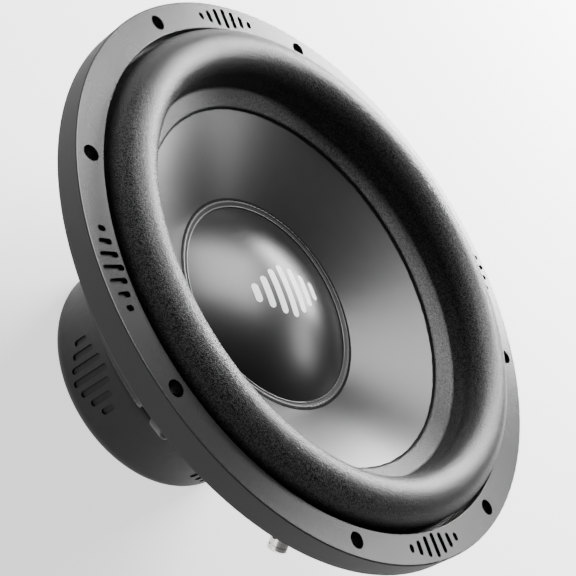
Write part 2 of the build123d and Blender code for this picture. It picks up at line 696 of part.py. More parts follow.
def terminal_spring(frame):
    """The coil spring between a post's end and its cap."""
    low, high = POST_TOP + SPRING_WIRE / 2 + 0.05, CAP_CEILING - SPRING_WIRE / 2 - 0.05
    path = Helix(pitch=(high - low) / SPRING_TURNS, height=high - low, radius=SPRING_R)
    section = Plane(origin=path @ 0, z_dir=path % 0) * Circle(SPRING_WIRE / 2)
    return frame * Pos(0, 0, low) * sweep(section, path, is_frenet=True)


def terminal_lug(frame):
    """The solder lug under a post's nut."""
    shape = Circle(4.2) + Pos(0, -6.5) * RectangleRounded(3.6, 9, 1.2) - Circle(STUD_R + 0.05)
    shape -= Pos(0, -9.2) * Circle(0.9)
    return frame * Pos(0, 0, -STEEL - 3.4) * extrude(shape, 0.8)


def terminal_nut(frame):
    shape = RegularPolygon(3.5, 6, major_radius=False) - Circle(STUD_R + 0.05)
    return frame * Pos(0, 0, -STEEL - 6.4) * extrude(shape, 3.0)


# ---- writing the parts ----
def write(name, shapes):
    """Writes one node, from one shape or from a list of separate ones."""
    several = shapes if isinstance(shapes, list) else [shapes]
    solids = [solid for shape in several for solid in shape.solids()]
    export_step(Compound(children=solids) if len(solids) > 1 else solids[0], f"{PARTS}/{name}.step")


def main():
    os.makedirs(PARTS, exist_ok=True)
    write("basket", basket())
    write("trim_ring", trim_ring())
    write("magnet_boot", magnet_boot())
    write("top_plate", top_plate())
    write("magnet_front", magnet(PLATE_BOTTOM))
    write("magnet_rear", magnet(PLATE_BOTTOM - MAGNET_HEIGHT))
    write("yoke", yoke())
    write("pole_sleeve", pole_sleeve())
    write("motor_screws", motor_screws())
    write("cone", cone())
    write("dust_cap", dust_cap())
    write("coil_former", coil_former())
    write("voice_coil_a", coil_layer(0))
    write("voice_coil_b", coil_layer(1))
    write("lead_pads", lead_pads())
    write("surround", surround())
    write("spider", spider())
    for plate, azimuth in PLATE_AZ.items():
        write(f"terminal_plate_{plate}", terminal_plate(azimuth))
        write(f"inner_plate_{plate}", inner_plate(azimuth))
        for sign, side in (("plus", -1), ("minus", 1)):
            write(f"tinsel_lead_{plate}_{sign}", lead(azimuth, side))
    for name, frame in POSTS.items():
        write(f"terminal_collar_{name}", terminal_collar(frame))
        write(f"terminal_post_{name}", terminal_post(frame))
        write(f"push_cap_{name}", push_cap(frame))
        write(f"terminal_spring_{name}", terminal_spring(frame))
        write(f"terminal_lug_{name}", terminal_lug(frame))
    write("terminal_nuts", [terminal_nut(frame) for frame in POSTS.values()])


main()
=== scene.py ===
"""Looks for a twelve-inch car subwoofer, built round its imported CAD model.

Metres, in the CAD's frame: +Z points out of the cone, z = 0 is the flange's back face.
"""

import json
from math import cos, hypot, pi, radians, sin, sqrt, tau

import bpy
from mathutils import Matrix, Vector

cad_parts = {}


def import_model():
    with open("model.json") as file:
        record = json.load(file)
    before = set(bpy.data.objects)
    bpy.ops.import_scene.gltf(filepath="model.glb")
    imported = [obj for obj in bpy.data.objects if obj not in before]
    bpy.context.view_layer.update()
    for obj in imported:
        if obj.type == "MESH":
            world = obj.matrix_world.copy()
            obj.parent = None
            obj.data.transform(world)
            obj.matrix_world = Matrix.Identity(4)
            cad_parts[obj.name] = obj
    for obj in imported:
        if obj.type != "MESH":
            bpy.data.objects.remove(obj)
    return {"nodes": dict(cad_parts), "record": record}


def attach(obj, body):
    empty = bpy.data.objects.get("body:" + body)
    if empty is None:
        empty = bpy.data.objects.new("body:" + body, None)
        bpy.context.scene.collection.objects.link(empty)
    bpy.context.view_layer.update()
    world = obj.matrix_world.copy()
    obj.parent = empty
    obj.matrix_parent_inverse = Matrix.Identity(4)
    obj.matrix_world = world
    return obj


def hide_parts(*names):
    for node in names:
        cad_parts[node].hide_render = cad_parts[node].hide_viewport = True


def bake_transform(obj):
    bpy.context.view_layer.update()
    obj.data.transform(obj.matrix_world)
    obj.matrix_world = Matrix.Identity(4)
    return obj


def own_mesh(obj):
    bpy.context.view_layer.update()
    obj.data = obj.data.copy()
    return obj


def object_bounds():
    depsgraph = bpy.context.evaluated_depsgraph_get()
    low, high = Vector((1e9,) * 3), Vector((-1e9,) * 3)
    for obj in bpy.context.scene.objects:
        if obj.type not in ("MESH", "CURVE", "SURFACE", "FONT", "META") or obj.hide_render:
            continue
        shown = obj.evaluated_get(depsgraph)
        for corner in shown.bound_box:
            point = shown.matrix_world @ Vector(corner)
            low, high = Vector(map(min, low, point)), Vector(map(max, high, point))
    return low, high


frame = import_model()
CAD_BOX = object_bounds()
NODES = frame["nodes"]
MM = 0.001

FIXED, MOVING = "frame", "moving_assembly"

# ---- camera ----
CAMERA_AZIMUTH = -161.23
CAMERA_ELEVATION = 34.28
CAMERA_DISTANCE = 0.7264
CAMERA_ROLL = 57.83
CAMERA_AIM = Vector((-0.0164, -0.0045, 0.0))
CAMERA_LENS = 90.14
SENSOR_WIDTH = 36.0

# ---- studio: each softbox's azimuth, elevation, distance, size and radiance ----
SOFTBOXES = {
    "key": (62.0, 56.0, 1.3, (0.84, 0.74), 16.5),
    "back": (23.0, 17.5, 1.3, (0.66, 0.38), 56.0),
    "side": (-7.0, 37.0, 1.3, (0.36, 0.24), 12.0),
}
HORIZON = 0.3
ZENITH = 0.04
FLOOR_GLOW = 1.4
FLOOR_HALF_SIDE = 8.0
FLOOR_GAP = 0.2 * MM

# ---- surround, as pressed: a half roll between two glued lips ----
ROLL_R = 126.3 * MM
ROLL_Z = 13.2 * MM
ROLL_OUTER_RADIUS = 12.8 * MM
ROLL_WALL = 1.6 * MM
LIP_WALL = 1.2 * MM
LIP_OUTER_R = 145.0 * MM
LIP_INNER_R = 103.0 * MM
ROLL_CREASE_R = 112.6 * MM
FOOT_RADIUS = 1.5 * MM
FLANGE_TOP = 2.0 * MM

# ---- the cone's front face is an arc through these (radius, height) points ----
CONE_NECK = (33.4 * MM, -44.0 * MM)
CONE_MIDDLE = (60.0 * MM, -26.7 * MM)
CONE_RIM = (112.2 * MM, 2.5 * MM)

# ---- dust cap ----
CAP_DOME_R = 56.5 * MM
CAP_DOME_Z = -27.1 * MM
CAP_APEX_Z = -12.0 * MM

# ---- spider ----
SPIDER_RIM_Z = -53.6 * MM
SPIDER_WALL = 0.8 * MM
SPIDER_COLLAR_R = 32.6 * MM
SPIDER_FIRST_R = 39.0 * MM
SPIDER_LAST_R = 75.0 * MM
SPIDER_OUTER_R = 90.0 * MM
SPIDER_WAVES = 5
SPIDER_SWING = 2.1 * MM

# ---- terminals: a plate at each of two azimuths, with a post either side of its middle ----
PLATE_AZ = {"a": 270.0, "b": 90.0}
POLARITY = {"plus": -1, "minus": 1}
POST_SPREAD = 9.5
POST_FOOT = (105.67 * MM, -44.81 * MM)
POST_OUT = (0.6735, -0.7392)
SPRING_LOW = 16.4 * MM
SPRING_HIGH = 22.4 * MM
SPRING_R = 2.7 * MM
SPRING_WIRE_R = 0.22 * MM
SPRING_TURNS = 4

# ---- radii and heights where a finish, a painted shade or a painted highlight changes: each pair is where the change starts and ends ----
# the trim's slots and holes, below this height and within these radii, carry painted shade
TRIM_FACE_Z = (13.2 * MM, 13.6 * MM)
TRIM_FACE_R = (142.2 * MM, 156.0 * MM)
TRIM_SIDE_R = (156.9 * MM, 157.4 * MM)
TRIM_FOOT_Z = (2.0 * MM, 4.0 * MM)
# the boot's mark cuts, inside this radius and in front of this height, carry painted shade
BOOT_SKIN_R = (66.2 * MM, 66.8 * MM)
BOOT_EDGE_Z = -118.0 * MM
# the cap's two rims between these radii carry a painted highlight
CAP_INNER_RIM_HIGHLIGHT_R = (56.5 * MM, 57.3 * MM)
CAP_BAND_R = (57.2 * MM, 59.0 * MM)
CAP_OUTER_RIM_HIGHLIGHT_R = (59.0 * MM, 60.2 * MM)
SOFT_EDGE = 0.3 * MM

# ---- glue beads on the cone, black as real glue and as painted shadow along the lip's edge and round the cap: each one's radius and half width ----
RIM_GLUE_AND_SHADOW = (102.65 * MM, 0.62 * MM)
CAP_GLUE_AND_SHADOW = (60.9 * MM, 0.95 * MM)
GLUE_AND_SHADOW_LIFT = 0.1 * MM

# ---- tinsel leads: lug and pad as (radius, degrees from the plate's middle, height) ----
# and the points between them as (share of the way, rise in mm)
LEAD_R = 0.9 * MM
LEAD_START = (96.12 * MM, 9.5, -45.44 * MM)
LEAD_END = (33.05 * MM, 16.0, -50.0 * MM)
LEAD_ROUTE = [(0.10, 5.5), (0.30, 9.0), (0.52, 6.5), (0.72, -0.5), (0.88, -3.66)]

# ---- the generic mark of level bars, printed on the cap ----
MARK_BARS = [0.35, 0.6, 0.85, 1.0, 0.85, 0.6, 0.35]
MARK_HEIGHT = 30.0 * MM
MARK_PITCH = 7.6 * MM
MARK_WIDTH = 4.4 * MM
MARK_FILM = 0.05 * MM


# ==== helpers for shapes ====
def polar(radius, azimuth, z=0.0):
    """The point at that distance from the axis, azimuth in degrees and height."""
    return Vector((radius * cos(radians(azimuth)), radius * sin(radians(azimuth)), z))


def arc(centre, radius, from_deg, to_deg, steps):
    """Points on an arc of a profile, both ends included."""
    angles = [radians(from_deg + (to_deg - from_deg) * k / steps) for k in range(steps + 1)]
    return [(centre[0] + radius * cos(a), centre[1] + radius * sin(a)) for a in angles]


def line(a, b, steps):
    """Points from a towards b, both ends included."""
    shares = [k / steps for k in range(steps + 1)]
    return [(a[0] + (b[0] - a[0]) * k, a[1] + (b[1] - a[1]) * k) for k in shares]


def add_mesh(name, points, faces, sharp=35.0):
    """A new smooth object from points and faces, with edges sharper than that many degrees kept sharp."""
    mesh = bpy.data.meshes.new(name)
    mesh.from_pydata([tuple(p) for p in points], [], faces)
    mesh.validate()
    mesh.shade_smooth()
    mesh.set_sharp_from_angle(angle=radians(sharp))
    made = bpy.data.objects.new(name, mesh)
    bpy.context.scene.collection.objects.link(made)
    return made


def lathe(name, profile, segments, sharp=35.0):
    """A closed profile of (radius, height) points, turned round the axis."""
    count = len(profile)
    points = [polar(r, 360.0 * s / segments, z) for s in range(segments) for r, z in profile]
    faces = [
        (
            s * count + k,
            (s + 1) % segments * count + k,
            (s + 1) % segments * count + (k + 1) % count,
            s * count + (k + 1) % count,
        )
        for s in range(segments)
        for k in range(count)
    ]
    return add_mesh(name, points, faces, sharp)


def tube_along(name, path, section, turns=0.0):
    """A closed tube along a path of points. The section is (radius, angle) points, turned that many times."""
    sides, last = len(section), len(path) - 1
    points, faces = [], []
    tangent = (path[1] - path[0]).normalized()
    across = tangent.orthogonal().normalized()
    for k, centre in enumerate(path):
        ahead = (path[min(k + 1, last)] - path[max(k - 1, 0)]).normalized()
        across = tangent.rotation_difference(ahead) @ across
        tangent = ahead
        up = tangent.cross(across)
        twist = tau * turns * k / last
        for radius, angle in section:
            points.append(centre + (across * cos(angle + twist) + up * sin(angle + twist)) * radius)
    for k in range(last):
        for j in range(sides):
            a, b = k * sides + j, k * sides + (j + 1) % sides
            faces.append((a, b, b + sides, a + sides))
    faces.append(tuple(reversed(range(sides))))
    faces.append(tuple(last * sides + j for j in range(sides)))
    return add_mesh(name, points, faces, 60.0)


def circle_section(radius, sides):
    return [(radius, tau * k / sides) for k in range(sides)]


def circle_through(a, b, c):
    """Centre and radius of the circle through three points."""
    d = 2 * (a[0] * (b[1] - c[1]) + b[0] * (c[1] - a[1]) + c[0] * (a[1] - b[1]))
    sa, sb, sc = (p[0] ** 2 + p[1] ** 2 for p in (a, b, c))
    x = (sa * (b[1] - c[1]) + sb * (c[1] - a[1]) + sc * (a[1] - b[1])) / d
    z = (sa * (c[0] - b[0]) + sb * (a[0] - c[0]) + sc * (b[0] - a[0])) / d
    return (x, z), hypot(a[0] - x, a[1] - z)


CONE_CENTRE, CONE_ARC_R = circle_through(CONE_NECK, CONE_MIDDLE, CONE_RIM)


def on_cone(radius, front=0.0):
    """The point of the cone's front face near that radius, moved forward by front."""
    height = CONE_CENTRE[1] + sqrt(CONE_ARC_R**2 - (radius - CONE_CENTRE[0]) ** 2)
    share = (CONE_ARC_R + front) / CONE_ARC_R
    x, z = CONE_CENTRE
    return (x + (radius - x) * share, z + (height - z) * share)


def blend_by_radius(piece):
    """Lays each point of a round piece on the plane of its profile, bakes the piece's placement into its
    mesh, then puts every point back where it was.
    """
    mesh = piece.data
    places = [v.co.copy() for v in mesh.vertices]
    for vertex, place in zip(mesh.vertices, places):
        vertex.co = (hypot(place.x, place.y), 0.0, place.z)
    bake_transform(piece)
    for vertex, place in zip(mesh.vertices, places):
        vertex.co = place
    mesh.update()


# ==== helpers for materials ====
class Surface:
    """A node material under construction: one Principled shader, and the patterns that feed it."""

    def __init__(self, name, **sockets):
        self.material = bpy.data.materials.new(name)
        self.material.use_nodes = True
        self.tree = self.material.node_tree
        self.shader = self.tree.nodes["Principled BSDF"]
        self.coordinates = self.tree.nodes.new("ShaderNodeTexCoord").outputs["Object"]
        for socket, value in sockets.items():
            key = socket.replace("_", " ").title().replace("Ior", "IOR")
            self.shader.inputs[key].default_value = (*value, 1.0) if isinstance(value, tuple) else value

    def add(self, kind, values=None, links=None, **settings):
        """A node with its settings, its socket values and what feeds its sockets."""
        node = self.tree.nodes.new(kind)
        for key, value in settings.items():
            setattr(node, key, value)
        for socket, value in (values or {}).items():
            node.inputs[socket].default_value = value
        for socket, source in (links or {}).items():
            self.tree.links.new(source, node.inputs[socket])
        return node

    def noise(self, size, detail=2.0, roughness=0.5):
        """Noise whose blobs are about that size in metres."""
        values = {"Scale": 1.0 / size, "Detail": detail, "Roughness": roughness}
        node = self.add("ShaderNodeTexNoise", values, {"Vector": self.coordinates})
        return node.outputs["Fac"]

    def math(self, operation, a, b=0.0, c=0.0):
        """The result of a maths operation on up to three sockets or numbers."""
        node = self.add("ShaderNodeMath", operation=operation)
        for k, value in enumerate((a, b, c)):
            if isinstance(value, (int, float)):
                node.inputs[k].default_value = value
            else:
                self.tree.links.new(value, node.inputs[k])
        return node.outputs[0]

    def ramp(self, source, low, high):
        """Maps 0..1 in the source to low..high."""
        node = self.add("ShaderNodeMapRange", {"To Min": low, "To Max": high}, {"Value": source})
        return node.outputs["Result"]

    def step(self, source, low, high):
        """0 below low and 1 above high, with a smooth change between."""
        values = {"From Min": low, "From Max": high}
        node = self.add("ShaderNodeMapRange", values, {"Value": source}, interpolation_type="SMOOTHSTEP")
        return node.outputs["Result"]

    def mix(self, factor, dark, light):
        """A colour between two colours or sockets."""
        node = self.add("ShaderNodeMix", data_type="RGBA")
        self.tree.links.new(factor, node.inputs["Factor"])
        for socket, value in ((6, dark), (7, light)):
            if isinstance(value, tuple):
                node.inputs[socket].default_value = (*value, 1.0)
            else:
                self.tree.links.new(value, node.inputs[socket])
        return node.outputs[2]

    def place(self):
        """The object coordinates, split into X, Y and Z."""
        return self.add("ShaderNodeSeparateXYZ", links={"Vector": self.coordinates}).outputs

    def band(self, source, low, high, soft=SOFT_EDGE):
        """1 from low to high in the source, rising over the soft distance and ending sharply."""
        return self.math("MULTIPLY", self.step(source, low, low + soft), self.math("LESS_THAN", source, high))

    def radius(self):
        """Distance from the speaker's axis."""
        x, y, _ = self.place()
        return self.math("SQRT", self.math("ADD", self.math("MULTIPLY", x, x), self.math("MULTIPLY", y, y)))

    def wave(self, source, pitch):
        """A sine of that pitch along the source, from 0 to 1."""
        sine = self.math("SINE", self.math("MULTIPLY", source, tau / pitch))
        return self.math("MULTIPLY_ADD", sine, 0.5, 0.5)

    def feed(self, socket, source):
        self.tree.links.new(source, self.shader.inputs[socket])

    def bump(self, height, depth):
        """Bumps of that depth in metres."""
        values = {"Distance": depth, "Strength": 1.0}
        node = self.add("ShaderNodeBump", values, {"Height": height})
        self.feed("Normal", node.outputs["Normal"])


def grey(value):
    return (value, value, value)


# ==== materials ====
def trim_rubber():
    """Satin rubber with a faint bloom, dull down its side. The mark's slots and the screw holes are painted
    near-black: painted shade in these recesses.
    """
    s = Surface("trim_rubber", specular_ior_level=0.5)
    r, z = s.radius(), s.place()[2]
    bloom = s.mix(s.noise(28 * MM, 3.0), grey(0.010), grey(0.016))
    # painted shade: below the face and within its ring, in the mark's slots and the screw holes, the colour
    # is near-black
    below = s.math("SUBTRACT", 1.0, s.step(z, *TRIM_FACE_Z))
    inside = s.band(r, *TRIM_FACE_R)
    painted_recess_shade = s.math("MULTIPLY", below, inside)
    foot = s.math("SUBTRACT", 1.0, s.step(z, *TRIM_FOOT_Z))
    outside = s.math("MAXIMUM", foot, s.step(r, *TRIM_SIDE_R))
    side = s.mix(outside, bloom, grey(0.012))
    s.feed("Base Color", s.mix(painted_recess_shade, side, grey(0.004)))
    satin = s.ramp(s.noise(30 * MM, 2.0), 0.25, 0.29)
    s.feed("Roughness", s.math("MULTIPLY_ADD", outside, 0.55, satin))
    s.bump(s.noise(0.35 * MM, 2.0), 0.006 * MM)
    return s.material


def boot_rubber():
    """Matte moulded rubber, with fine mould texture and painted shade darkening the cuts where the mark is.
    """
    s = Surface("boot_rubber", specular_ior_level=0.25)
    r = s.radius()
    tone = s.mix(s.noise(20 * MM, 3.0), grey(0.006), grey(0.010))
    # painted shade: near-black inside the mark's cuts, below the rubber's skin and in front of its back edge
    above = s.math("GREATER_THAN", s.place()[2], BOOT_EDGE_Z)
    painted_recess_shade = s.math("MULTIPLY", s.math("SUBTRACT", 1.0, s.step(r, *BOOT_SKIN_R)), above)
    s.feed("Base Color", s.mix(painted_recess_shade, tone, grey(0.002)))
    s.feed("Roughness", s.ramp(s.noise(4 * MM, 3.0), 0.52, 0.64))
    s.bump(s.noise(0.4 * MM, 3.0), 0.02 * MM)
    return s.material


def surround_foam():
    """Charcoal foam rubber: a dark skin whose fine open grain glints speck by speck."""
    s = Surface("surround_foam", specular_ior_level=0.22)
    fine = s.noise(0.47 * MM, 1.0, 0.6)
    coarse = s.noise(1.3 * MM, 2.0, 0.6)
    grain = s.math("MULTIPLY_ADD", coarse, 0.35, s.math("MULTIPLY", fine, 0.65))
    speck = s.step(grain, 0.42, 0.60)
    s.feed("Base Color", s.mix(speck, grey(0.004), grey(0.074)))
    s.feed("Roughness", s.ramp(speck, 0.34, 0.22))
    s.bump(grain, 0.34 * MM)
    return s.material


def cone_paper():
    """Coated pulp: smooth satin charcoal with the faint cloud of its fibres."""
    s = Surface("cone_paper", specular_ior_level=0.5)
    cloud = s.noise(9 * MM, 5.0, 0.6)
    s.feed("Base Color", s.mix(cloud, grey(0.020), grey(0.028)))
    s.feed("Roughness", s.ramp(s.noise(1.4 * MM, 3.0), 0.31, 0.37))
    s.bump(s.noise(1.0 * MM, 4.0, 0.6), 0.02 * MM)
    return s.material


def cap_gloss():
    """Glossy black lacquer over a fine woven skin, with painted highlights on its two rims and a dull band
    between them.
    """
    s = Surface("cap_gloss", specular_ior_level=0.55)
    r = s.radius()
    # painted highlight: the two thin rims round the cap's edge are painted a lighter grey
    outer_rim_highlight = s.band(r, *CAP_OUTER_RIM_HIGHLIGHT_R)
    inner_rim_highlight = s.band(r, *CAP_INNER_RIM_HIGHLIGHT_R, soft=0.2 * MM)
    painted_rim_highlight = s.math("MAXIMUM", outer_rim_highlight, inner_rim_highlight)
    s.feed("Base Color", s.mix(painted_rim_highlight, grey(0.004), grey(0.10)))
    x, y, _ = s.place()
    weave = s.math("MULTIPLY", s.wave(x, 0.9 * MM), s.wave(y, 0.9 * MM))
    s.bump(weave, 0.003 * MM)
    band = s.band(r, *CAP_BAND_R)
    lacquer = s.ramp(s.noise(5 * MM, 3.0), 0.29, 0.34)
    s.feed("Roughness", s.math("MULTIPLY_ADD", band, 0.4, lacquer))
    return s.material


def black_steel():
    """Black powder coat over pressed steel."""
    s = Surface("black_steel", specular_ior_level=0.3)
    s.feed("Base Color", s.mix(s.noise(12 * MM, 3.0), grey(0.005), grey(0.009)))
    s.feed("Roughness", s.ramp(s.noise(2 * MM, 3.0), 0.50, 0.64))
    s.bump(s.noise(0.9 * MM, 2.0), 0.04 * MM)
    return s.material


def zinc_steel():
    """Turned, zinc plated steel: fine rings round the axis and a mottled passivated tone."""
    s = Surface("zinc_steel", metallic=1.0)
    s.feed("Base Color", s.mix(s.noise(8 * MM, 4.0), (0.42, 0.43, 0.46), (0.58, 0.57, 0.52)))
    s.feed("Roughness", s.ramp(s.noise(3 * MM, 4.0), 0.28, 0.46))
    s.bump(s.wave(s.radius(), 0.5 * MM), 0.006 * MM)
    return s.material


def ferrite():
    """Ground hard ferrite, dull and faintly speckled."""
    s = Surface("ferrite", roughness=0.62)
    s.feed("Base Color", s.mix(s.noise(1.2 * MM, 4.0), grey(0.03), grey(0.06)))
    s.bump(s.noise(0.7 * MM, 3.0), 0.03 * MM)
    return s.material


def metal(name, dark, light, rough):
    """Bare or plated metal with a slightly uneven polish."""
    s = Surface(name, metallic=1.0)
    s.feed("Base Color", s.mix(s.noise(4 * MM, 3.0), dark, light))
    s.feed("Roughness", s.ramp(s.noise(4 * MM / 3, 4.0), rough[0], rough[1]))
    s.bump(s.noise(0.5 * MM, 3.0), 0.004 * MM)
    return s.material


def plastic(name, dark, light, rough, grain=0.01 * MM):
    """Moulded plastic with a fine texture."""
    s = Surface(name)
    s.feed("Base Color", s.mix(s.noise(6 * MM, 3.0), dark, light))
    s.feed("Roughness", s.ramp(s.noise(2 * MM, 3.0), rough[0], rough[1]))
    s.bump(s.noise(0.4 * MM, 2.0), grain)
    return s.material


def winding():
    """Enamelled copper wire, turn on turn, painted darker between the turns and lighter on their crests:
    painted shade and painted highlight.
    """
    s = Surface("winding", metallic=0.9)
    turns = s.wave(s.place()[2], 0.5 * MM)
    # painted shade in the grooves between turns and painted highlight on each turn's crest
    s.feed("Base Color", s.mix(turns, (0.22, 0.07, 0.025), (0.62, 0.24, 0.09)))
    s.feed("Roughness", s.ramp(s.noise(2 * MM), 0.25, 0.4))
    s.bump(turns, 0.12 * MM)
    return s.material


def woven(name, dark, light, pitch, depth, rough):
    """Plain weave over a flat piece: threads along X over and under threads along Y."""
    s = Surface(name, sheen_weight=0.1)
    x, y, _ = s.place()
    across, along = s.wave(x, pitch), s.wave(y, pitch)
    check = s.wave(s.math("ADD", x, y), 2 * pitch)
    thread = s.math("MULTIPLY", s.math("MAXIMUM", across, along), s.math("MULTIPLY_ADD", check, 0.5, 0.5))
    stain = s.noise(14 * MM, 3.0)
    base = s.mix(thread, dark, light)
    s.feed("Base Color", s.mix(s.math("MULTIPLY", stain, 0.45), base, dark))
    s.feed("Roughness", s.ramp(thread, rough[0], rough[1]))
    s.bump(thread, depth)
    return s.material


def tinsel_braid():
    """Silvery braided strands that catch the light one by one."""
    s = Surface("tinsel", metallic=0.85)
    strand = s.noise(0.35 * MM, 3.0, 0.7)
    s.feed("Base Color", s.mix(strand, (0.30, 0.28, 0.24), (0.80, 0.78, 0.72)))
    s.feed("Roughness", s.ramp(strand, 0.32, 0.5))
    s.bump(strand, 0.08 * MM)
    return s.material


def glue_and_shadow():
    """Black adhesive, dull and a little lumpy; its near-black also serves as painted shadow along the edges
    it follows.
    """
    s = Surface("glue_and_shadow", roughness=0.7, specular_ior_level=0.1)
    s.feed("Base Color", s.mix(s.noise(2 * MM, 3.0), grey(0.002), grey(0.008)))
    s.bump(s.noise(1.5 * MM, 3.0), 0.05 * MM)
    return s.material


def print_white():
    """White screen print with a trace of the weave below it."""
    s = Surface("print_white", roughness=0.4)
    s.feed("Base Color", s.mix(s.noise(3 * MM, 3.0), grey(0.92), grey(0.98)))
    s.bump(s.noise(0.5 * MM, 2.0), 0.004 * MM)
    return s.material


SLOT_MATERIALS = {
    "black_steel": black_steel(),
    "trim_rubber": trim_rubber(),
    "boot_rubber": boot_rubber(),
    "surround_foam": surround_foam(),
    "cone_paper": cone_paper(),
    "cap_gloss": cap_gloss(),
    "former": metal("former", grey(0.10), grey(0.16), (0.35, 0.5)),
    "winding": winding(),
    "spider_cloth": woven(
        "spider_cloth", (0.13, 0.075, 0.03), (0.42, 0.28, 0.13), 0.9 * MM, 0.12 * MM, (0.6, 0.85)
    ),
    "zinc_steel": zinc_steel(),
    "ferrite": ferrite(),
    "copper": metal("copper", (0.55, 0.22, 0.12), (0.80, 0.40, 0.24), (0.22, 0.38)),
    "screw_steel": metal("screw_steel", grey(0.05), grey(0.10), (0.3, 0.45)),
    "terminal_plastic": plastic("terminal_plastic", grey(0.012), grey(0.018), (0.42, 0.55), 0.02 * MM),
    "nickel": metal("nickel", (0.66, 0.65, 0.62), (0.78, 0.77, 0.74), (0.12, 0.24)),
    "red_plastic": plastic("red_plastic", (0.38, 0.008, 0.006), (0.50, 0.014, 0.010), (0.28, 0.36)),
    "black_plastic": plastic("black_plastic", grey(0.010), grey(0.014), (0.28, 0.36)),
    "spring_steel": metal("spring_steel", grey(0.42), grey(0.6), (0.2, 0.32)),
    "tinsel": tinsel_braid(),
    "solder_tag": metal("solder_tag", (0.52, 0.48, 0.36), (0.72, 0.68, 0.56), (0.25, 0.4)),
}
GLUE_AND_SHADOW = glue_and_shadow()
PRINT_WHITE = print_white()


def paint(piece, material):
    """Gives a new piece its material."""
    piece.data.materials.clear()
    piece.data.materials.append(material)


def paint_nodes():
    """Every CAD node takes the material of its own slot."""
    for part in frame["record"]["subparts"]:
        mesh = NODES[part["node"]].data
        for k in range(len(mesh.materials)):
            mesh.materials[k] = SLOT_MATERIALS[part["material_slot"]]


def shade_over_seam(node):
    """Evens a round CAD node's shading across the line where its surface closes on itself."""
    stack = NODES[node].modifiers
    stack.new("weld", "WELD").merge_threshold = 0.001 * MM
    stack.new("split", "EDGE_SPLIT").split_angle = radians(25)
    stack.new("normals", "WEIGHTED_NORMAL").mode = "CORNER_ANGLE"


# ==== pieces ====
def surround():
    """The half roll and its lips, turned round the axis as pressed."""
    outer, inner = ROLL_OUTER_RADIUS, ROLL_OUTER_RADIUS - ROLL_WALL
    lip_top = FLANGE_TOP + LIP_WALL
    foot = FOOT_RADIUS
    inner_face = [on_cone(LIP_INNER_R + k * (CONE_RIM[0] - LIP_INNER_R) / 8) for k in range(9)]
    front_step = (ROLL_CREASE_R - LIP_INNER_R) / 8
    lip_front = [on_cone(LIP_INNER_R + k * front_step, LIP_WALL) for k in range(1, 9)]
    edge_low = on_cone(LIP_INNER_R + 0.05 * MM, LIP_WALL * 0.7)
    edge_high = on_cone(LIP_INNER_R + 0.35 * MM, LIP_WALL * 0.97)
    leg_foot = (lip_front[-1][0] + 0.15 * MM, lip_front[-1][1] + 0.5 * MM)
    leg = line(leg_foot, (ROLL_R - outer, ROLL_Z - 1.5 * MM), 5)
    profile = [edge_low, edge_high] + lip_front + leg
    profile += arc((ROLL_R, ROLL_Z), outer, 180, 0, 64)
    profile += line((ROLL_R + outer, ROLL_Z - 1.2 * MM), (ROLL_R + outer, lip_top + foot + 1 * MM), 5)
    profile += arc((ROLL_R + outer + foot, lip_top + foot), foot, 180, 270, 6)
    profile += line((ROLL_R + outer + foot + 1 * MM, lip_top), (LIP_OUTER_R, lip_top), 2)
    profile += line((LIP_OUTER_R, FLANGE_TOP + 0.02 * MM), (ROLL_R + inner, FLANGE_TOP + 0.02 * MM), 3)
    profile += arc((ROLL_R, ROLL_Z), inner, 0, 180, 36)
    profile += line((ROLL_R - inner, ROLL_Z - 1 * MM), (ROLL_R - inner, CONE_RIM[1] + 0.6 * MM), 4)
    profile += list(reversed(inner_face))
    piece = lathe("surround_roll", profile, 384, 50.0)
    paint(piece, SLOT_MATERIALS["surround_foam"])
    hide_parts("surround")
    blend_by_radius(piece)


def spider():
    """The corrugated cloth disc that centres the coil."""
    step = (SPIDER_LAST_R - SPIDER_FIRST_R) / (2 * SPIDER_WAVES - 1)
    half = SPIDER_WALL / 2

    def height(r):
        inside = step / 2 + SPIDER_FIRST_R - step
        outside = SPIDER_LAST_R + step / 2
        if r < inside or r > outside:
            return SPIDER_RIM_Z
        return SPIDER_RIM_Z + SPIDER_SWING * cos(pi * (r - SPIDER_FIRST_R) / step)

    steps = 150
    radii = [SPIDER_COLLAR_R + (SPIDER_OUTER_R - SPIDER_COLLAR_R) * k / steps for k in range(steps + 1)]
    collar_foot = SPIDER_RIM_Z - 4.0 * MM
    top = [(r, height(r) + half) for r in radii[2:]]
    under = [(r, height(r) - half) for r in reversed(radii[3:])]
    collar_in = [(SPIDER_COLLAR_R - half, collar_foot), (SPIDER_COLLAR_R - half, SPIDER_RIM_Z)]
    profile = collar_in + top + under + [(SPIDER_COLLAR_R + half, collar_foot)]
    piece = lathe("spider_disc", profile, 192, 50.0)
    paint(piece, SLOT_MATERIALS["spider_cloth"])
    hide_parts("spider")
    blend_by_radius(piece)


def curve_points(route, steps):
    """Points along the smooth NURBS line that has the route as its control points."""
    curve = bpy.data.curves.new("route", "CURVE")
    curve.dimensions = "3D"
    curve.resolution_u = steps
    spline = curve.splines.new("NURBS")
    spline.points.add(len(route) - 1)
    for point, place in zip(spline.points, route):
        point.co = (*place, 1.0)
    spline.order_u = 3
    spline.use_endpoint_u = True
    holder = bpy.data.objects.new("route", curve)
    bpy.context.scene.collection.objects.link(holder)
    bpy.context.view_layer.update()
    mesh = bpy.data.meshes.new_from_object(holder)
    points = [v.co.copy() for v in mesh.vertices]
    bpy.data.objects.remove(holder)
    bpy.data.meshes.remove(mesh)
    bpy.data.curves.remove(curve)
    return points


